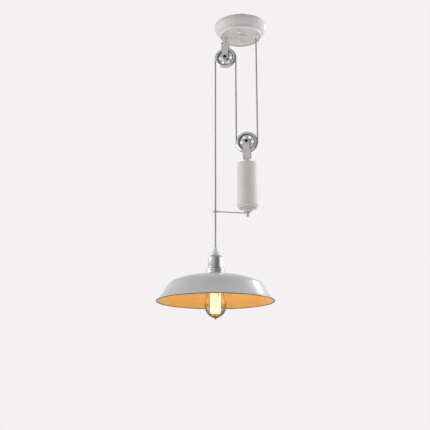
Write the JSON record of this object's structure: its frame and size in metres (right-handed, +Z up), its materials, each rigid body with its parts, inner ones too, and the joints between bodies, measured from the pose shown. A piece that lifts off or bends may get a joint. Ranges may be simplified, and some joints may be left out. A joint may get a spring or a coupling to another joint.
{
  "type": "rise and fall pendant",
  "caption": "Ceiling pendant whose lamp rises and falls on a cable over pulleys, balanced by a hanging counterweight with a guide arm.",
  "frame": {"origin": "centre of the ceiling bracket's two screw slots, on the ceiling plane", "axes": "+Z up into the ceiling, +X towards the fixed end of the cable; the wheels and the hanging pieces lie in the plane Y = 0"},
  "size_m": [0.352, 0.352, 0.9428],
  "materials": {
    "white_paint": "satin",
    "lamp_paint": "gloss",
    "chrome": "polished",
    "dark_bolt": "satin",
    "zinc_steel": "satin",
    "sleeve_metal": "satin",
    "bearing_brass": "satin",
    "ballast_iron": "matte",
    "cable_braid": "matte",
    "white_nylon": "satin",
    "block_plastic": "satin",
    "live_core": "satin",
    "neutral_core": "satin",
    "earth_core": "satin",
    "porcelain": "gloss",
    "amber_glass": "gloss",
    "clear_glass": "gloss",
    "filament_metal": "satin"
  },
  "bodies": {
    "root": {"ceiling_bracket": "zinc_steel", "canopy": "white_paint", "centre_cover": "white_paint", "canopy_studs": "zinc_steel", "stud_nuts": "zinc_steel", "canopy_cap_nuts": "white_paint", "outlet_gland": "white_nylon", "outlet_gland_nut": "white_nylon", "terminal_block": "block_plastic", "terminal_block_screw": "zinc_steel", "terminal_clamp_screws": "bearing_brass", "earth_screw": "zinc_steel", "live_wire": "live_core", "neutral_wire": "neutral_core", "earth_wire": "earth_core", "upper_stem": "white_paint", "upper_stem_nuts": "zinc_steel", "upper_yoke": "white_paint", "upper_axle": "dark_bolt", "upper_axle_nut": "dark_bolt", "upper_axle_spacers": "zinc_steel", "cable_upper_wrap": "cable_braid", "cable_feed_run": "cable_braid", "cable_middle_run": "cable_braid", "cable_lamp_run": "cable_braid"},
    "upper_wheel": {"upper_wheel": "chrome", "upper_wheel_bush": "bearing_brass"},
    "counterweight": {"lower_yoke": "white_paint", "lower_axle": "dark_bolt", "lower_axle_nut": "dark_bolt", "lower_axle_spacers": "zinc_steel", "cable_lower_wrap": "cable_braid", "weight_rod": "zinc_steel", "weight_rod_nut": "zinc_steel", "weight_neck": "white_paint", "weight_casing": "white_paint", "ballast_slug": "ballast_iron", "weight_base": "white_paint", "weight_end_cone": "white_paint", "guide_arm": "zinc_steel", "weight_finial": "white_paint"},
    "lower_wheel": {"lower_wheel": "chrome", "lower_wheel_bush": "bearing_brass"},
    "lamp": {"cord_grip": "white_nylon", "cord_grip_nut": "white_nylon", "holder_cap": "lamp_paint", "holder_sleeve": "sleeve_metal", "holder_ring": "lamp_paint", "socket_insulator": "porcelain", "screw_shell": "bearing_brass", "centre_contact": "bearing_brass", "lampholder_wires": "neutral_core", "shade": "lamp_paint", "shade_clamp_ring": "lamp_paint", "bulb_glass": "amber_glass", "bulb_cap": "bearing_brass", "bulb_contact": "bearing_brass", "bulb_stem": "clear_glass", "filament": "filament_metal", "filament_supports": "zinc_steel"}
  },
  "joints": [
    {"name": "weight_slide", "type": "slide", "parent": "root", "child": "counterweight", "axis": [0, 0, 1], "range_m": [-0.034, 0.246], "deforming": ["cable_feed_run", "cable_middle_run"]},
    {"name": "lamp_slide", "type": "slide", "parent": "root", "child": "lamp", "axis": [0, 0, 1], "range_m": [-0.492, 0.068], "deforming": ["cable_lamp_run"]},
    {"name": "upper_wheel_turn", "type": "hinge", "parent": "root", "child": "upper_wheel", "pos_m": [-0.04988, 0, -0.1054], "axis": [0, -1, 0], "range_deg": [-118.2, 848.8]},
    {"name": "lower_wheel_turn", "type": "hinge", "parent": "counterweight", "child": "lower_wheel", "pos_m": [0.01663, 0, -0.3975], "axis": [0, -1, 0], "range_deg": [-424.9, 59.6]}
  ],
  "couplings": [
    {"joint": "lamp_slide", "follows": "weight_slide", "ratio": -2},
    {"joint": "upper_wheel_turn", "follows": "weight_slide", "rad_per_m": 60.15},
    {"joint": "lower_wheel_turn", "follows": "weight_slide", "rad_per_m": -30.075}
  ]
}
